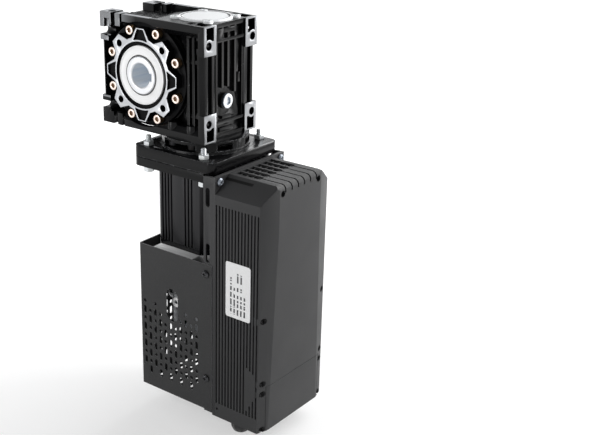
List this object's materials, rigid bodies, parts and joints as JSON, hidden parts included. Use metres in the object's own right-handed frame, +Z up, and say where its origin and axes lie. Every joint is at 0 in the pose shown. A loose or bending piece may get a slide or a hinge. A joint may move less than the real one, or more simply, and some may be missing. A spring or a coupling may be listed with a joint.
{
  "type": "high-speed door motor",
  "caption": "Worm gearbox with a hollow keyed output shaft, a flanged servo motor with a sheet-metal rear cover, and a finned drive box on its side.",
  "frame": {"origin": "centre of the hollow output shaft's bore, halfway along the shaft", "axes": "+Y along the output shaft, +Z up to the worm's end cap, +X from the output shaft to the motor axis"},
  "size_m": [0.2356, 0.1244, 0.4442],
  "materials": {
    "black_casting": "gloss black paint with machined bare faces",
    "black_anodised": "satin black anodised extrusion",
    "bare_aluminium": "machined",
    "steel": "ground",
    "bronze": "machined",
    "copper_screw": "yellow-copper plated",
    "zinc": "bright zinc plated",
    "seal_grey": "satin pressed metal",
    "rubber": "matte",
    "lamination": "laminated",
    "copper_winding": "enamelled wire",
    "magnet": "nickel plated",
    "brake_lining": "friction lining",
    "grey_plastic": "fine grain",
    "base_metal": "powder coat",
    "cover_sheet": "fine powder coat",
    "black_screw": "black oxide",
    "black_plastic": "moulded",
    "label_white": "printed foil",
    "circuit_board": "solder mask",
    "capacitor_sleeve": "shrink sleeve",
    "terminal_green": "moulded"
  },
  "bodies": {
    "root": {"gear_housing": "black_casting", "side_cover": "black_casting", "side_cover_screws": "copper_screw", "output_seals": "seal_grey", "output_bearing_outers": "steel", "worm_bearing_outers": "steel", "worm_end_cap": "bare_aluminium", "end_cap_screws": "zinc", "oil_plug": "zinc", "input_seal": "rubber", "input_flange": "black_casting", "input_flange_screws": "black_screw", "flange_bolts": "zinc", "flange_nuts": "zinc", "flange_washers": "zinc", "motor_front_bell": "black_casting", "motor_body": "black_anodised", "stator_core": "lamination", "stator_windings": "copper_winding", "motor_bearing_outers": "steel", "rear_bell": "black_casting", "motor_tie_screws": "zinc", "brake_housing": "bare_aluminium", "brake_coil": "magnet", "brake_springs": "steel", "brake_bracket": "steel", "lever_pin": "steel", "encoder_housing": "bare_aluminium", "encoder_board": "circuit_board", "rear_cover": "cover_sheet", "cover_screws": "black_screw", "drive_base": "base_metal", "heat_sink": "black_anodised", "drive_mount_screws": "zinc", "drive_housing": "grey_plastic", "terminal_cover": "grey_plastic", "drive_screws": "black_screw", "rating_plate": "label_white", "control_board": "circuit_board", "capacitors": "capacitor_sleeve", "power_module": "black_plastic", "terminal_block": "terminal_green", "cable_gland": "black_plastic"},
    "output": {"output_shaft": "bare_aluminium", "worm_wheel": "bronze", "output_bearing_inners": "steel"},
    "rotor": {"worm_shaft": "steel", "worm_bearing_inners": "steel", "motor_shaft": "steel", "rotor_core": "lamination", "rotor_magnets": "magnet", "motor_bearing_inners": "steel", "brake_disc": "brake_lining", "encoder_disc": "bare_aluminium"},
    "release_lever_body": {"release_lever": "zinc", "release_eyelet": "zinc"},
    "armature_body": {"brake_armature": "steel"}
  },
  "joints": [
    {"name": "output_spin", "type": "hinge", "parent": "root", "child": "output", "pos_m": [0, 0, 0], "axis": [0, 1, 0], "continuous": true},
    {"name": "rotor_spin", "type": "hinge", "parent": "root", "child": "rotor", "pos_m": [0.05, 0, -0.1], "axis": [0, 0, 1], "continuous": true},
    {"name": "brake_lever_swing", "type": "hinge", "parent": "root", "child": "release_lever_body", "pos_m": [0.049, -0.0425, -0.216], "axis": [-1, 0, 0], "range_deg": [0, 10]},
    {"name": "brake_armature_slide", "type": "slide", "parent": "root", "child": "armature_body", "axis": [0, 0, 1], "range_m": [0, 0.00034], "stiffness_N_per_m": 2000, "springref_m": -0.001}
  ],
  "couplings": [
    {"joint": "rotor_spin", "follows": "output_spin", "ratio": 15},
    {"joint": "brake_lever_swing", "follows": "brake_armature_slide", "rad_per_m": 500}
  ]
}
